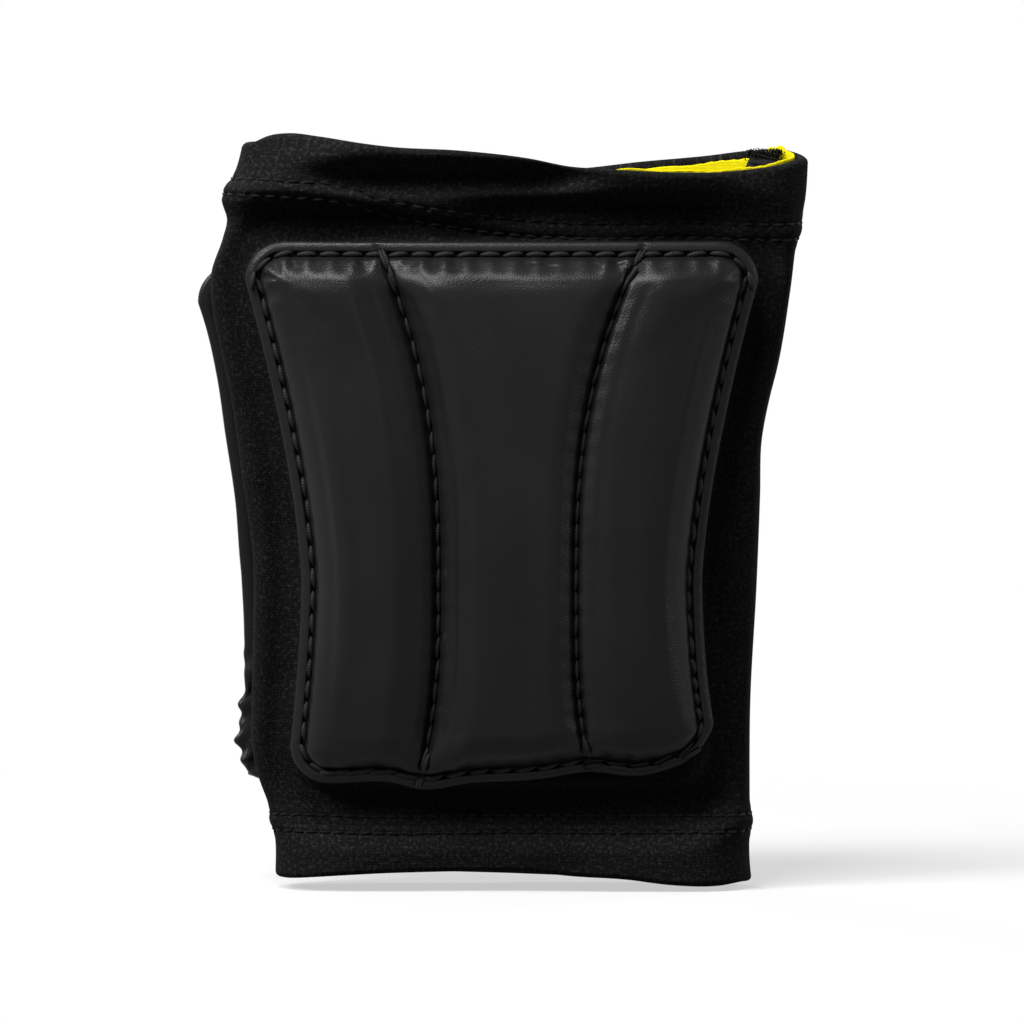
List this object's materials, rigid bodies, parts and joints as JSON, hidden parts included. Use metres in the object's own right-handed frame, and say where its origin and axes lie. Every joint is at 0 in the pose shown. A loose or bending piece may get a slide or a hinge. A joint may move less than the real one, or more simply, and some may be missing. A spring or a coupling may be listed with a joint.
{
  "type": "wrist guard",
  "caption": "Pull-on padded wrist guard: a tapering elastic sleeve, lined in yellow, with a stitched channelled leather pad on its front and on its back.",
  "frame": {"origin": "middle of the underside of the whole guard's box, on the surface that its wrist end stands on", "axes": "+Z along the sleeve from the wrist end up to the forearm end; -Y out of the front pad; +X to the right as the front pad is faced"},
  "size_m": [0.11, 0.0392, 0.136],
  "materials": {
    "outer_knit": "matt elastic knit, fine pale fleck",
    "neoprene_foam": "closed-cell foam",
    "lining_jersey": "matt bright yellow jersey",
    "band_laminate": "matt elastic knit on foam",
    "sewing_thread": "slightly glossy black thread",
    "cover_leather": "smooth satin synthetic leather",
    "backing_cloth": "plain woven cloth",
    "pad_foam": "soft foam",
    "stay_plastic": "thin bare polypropylene"
  },
  "bodies": {
    "sleeve_and_back_pad": {"sleeve_outer_knit": "outer_knit", "sleeve_foam_core": "neoprene_foam", "sleeve_lining": "lining_jersey", "top_band": "band_laminate", "top_band_lining": "lining_jersey", "bottom_band": "band_laminate", "bottom_band_lining": "lining_jersey", "top_seam_stitches": "sewing_thread", "bottom_seam_stitches": "sewing_thread", "side_seam_allowance": "band_laminate", "side_seam_overlock": "sewing_thread", "back_pad_cover": "cover_leather", "back_pad_backing": "backing_cloth", "back_pad_foam_left": "pad_foam", "back_pad_foam_centre": "pad_foam", "back_pad_foam_right": "pad_foam", "back_pad_stay": "stay_plastic", "back_pad_border_stitches": "sewing_thread", "back_pad_channel_stitches": "sewing_thread"},
    "front_pad": {"front_pad_cover": "cover_leather", "front_pad_backing": "backing_cloth", "front_pad_foam_left": "pad_foam", "front_pad_foam_centre": "pad_foam", "front_pad_foam_right": "pad_foam", "front_pad_stay": "stay_plastic", "front_pad_border_stitches": "sewing_thread", "front_pad_channel_stitches": "sewing_thread"}
  },
  "joints": [
    {"name": "sleeve_opening", "type": "slide", "parent": "sleeve_and_back_pad", "child": "front_pad", "axis": [0, -1, 0], "range_m": [0, 0.025], "stiffness_N_per_m": 300, "deforming": ["sleeve_outer_knit", "sleeve_foam_core", "sleeve_lining", "top_band", "top_band_lining", "bottom_band", "bottom_band_lining", "top_seam_stitches", "bottom_seam_stitches", "side_seam_allowance", "side_seam_overlock"]}
  ]
}
